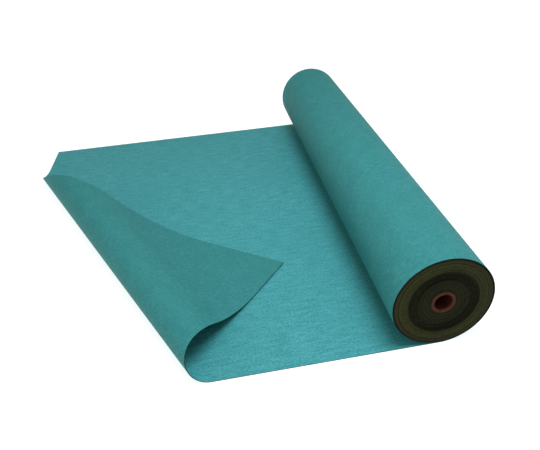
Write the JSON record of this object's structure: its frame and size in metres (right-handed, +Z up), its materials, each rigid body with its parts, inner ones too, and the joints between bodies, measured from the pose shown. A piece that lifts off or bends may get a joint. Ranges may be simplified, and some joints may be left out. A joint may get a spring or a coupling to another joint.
{
  "type": "sheet vinyl roll",
  "caption": "Roll of heavy ribbed vinyl sheet on a paper core, partly laid out flat, with one corner of the free end curled over.",
  "frame": {"origin": "middle of the core's bore, half-way along it", "axes": "+X from the cut end of the laid sheet towards the roll, +Y along the roll's axis away from the curled corner, +Z up; the floor is at z = -0.104"},
  "size_m": [1.0446, 1.225, 0.2071],
  "materials": {
    "sheet_face": "ribbed, satin",
    "sheet_back": "fine cross-hatched emboss, matt",
    "wound_edge": "stacked cut edges, matt",
    "tape": "matt adhesive tape",
    "core": "spirally wound brown paper, bare"
  },
  "bodies": {
    "web": {"flat_web": "sheet_face", "corner_curl": "sheet_back"},
    "flap": {"corner_flap": "sheet_back"},
    "last_turn": {"outer_wrap": "sheet_back"},
    "roll": {"wound_sheet": "wound_edge", "core_tape": "tape", "core_tube": "core"}
  },
  "joints": [
    {"name": "roll_travel", "type": "slide", "parent": "web", "child": "last_turn", "axis": [1, 0, 0], "range_m": [-0.14, 0.65], "deforming": ["flat_web"]},
    {"name": "roll_spin", "type": "hinge", "parent": "last_turn", "child": "roll", "pos_m": [0, 0, 0], "axis": [0, 1, 0], "range_deg": [-80, 360]},
    {"name": "corner_lift", "type": "hinge", "parent": "web", "child": "flap", "pos_m": [-0.4851, -0.62353, -0.04825], "axis": [0.4218, -0.9064, -0.022], "range_deg": [0, 90], "deforming": ["corner_curl"]}
  ],
  "couplings": [
    {"joint": "roll_spin", "follows": "roll_travel", "rad_per_m": 9.6154}
  ]
}
